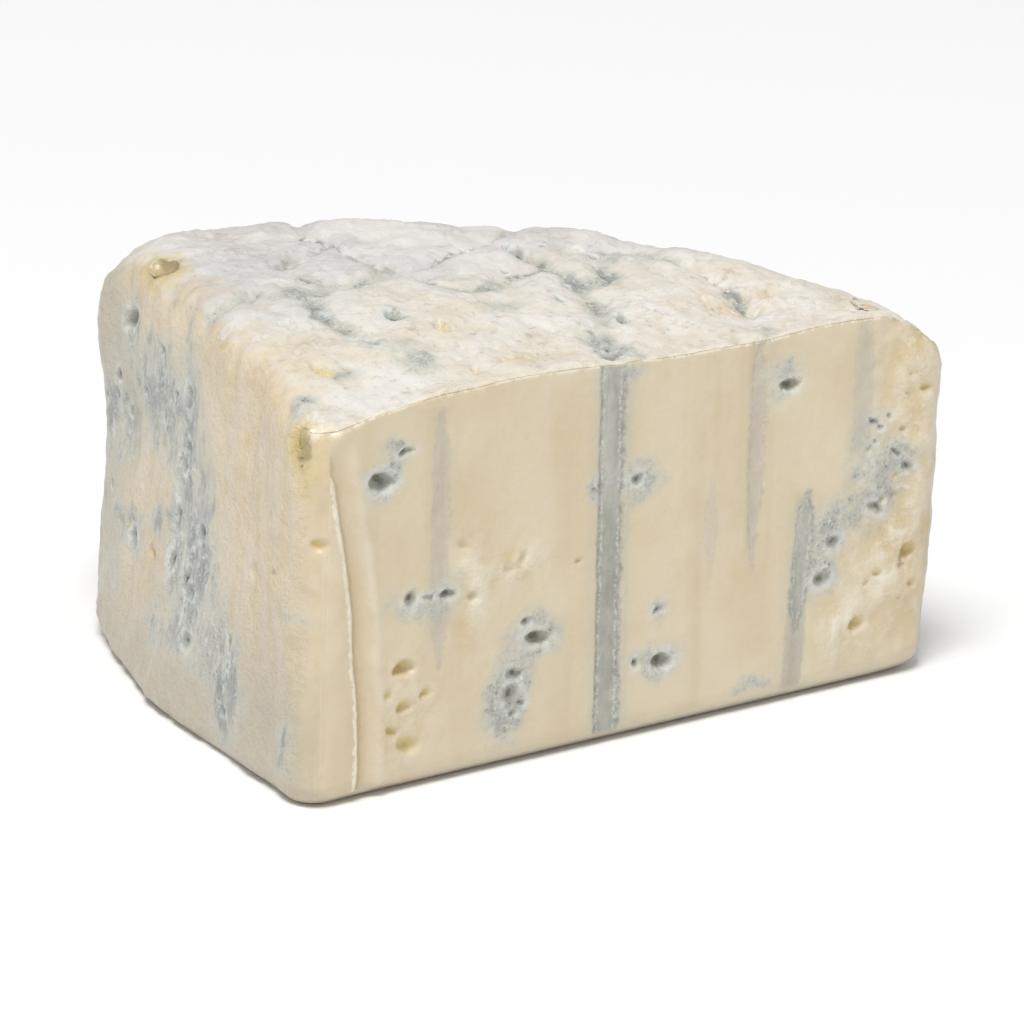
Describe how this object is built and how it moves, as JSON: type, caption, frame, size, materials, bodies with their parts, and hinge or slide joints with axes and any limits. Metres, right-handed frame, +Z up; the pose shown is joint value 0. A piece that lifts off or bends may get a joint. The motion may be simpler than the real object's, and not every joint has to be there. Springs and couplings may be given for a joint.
{
  "type": "blue cheese wedge",
  "caption": "Thick wedge of blue-veined cheese with a clean cut face, a rough cut face, a pressed-net rind and a flat base to stand on.",
  "frame": {"origin": "centre of the bounding box's footprint, on the flat base", "axes": "+X along the clean cut, from the front corner to the rind; +Y from the clean cut into the cheese; +Z up"},
  "size_m": [0.1332, 0.1058, 0.074],
  "materials": {
    "cheese": "soft moist cream paste with blue-grey mould veins, eyes and needle tracks; dry pale grey-lilac rind on the top and the rim"
  },
  "bodies": {
    "root": {"cheese_wedge": "cheese"}
  },
  "joints": []
}
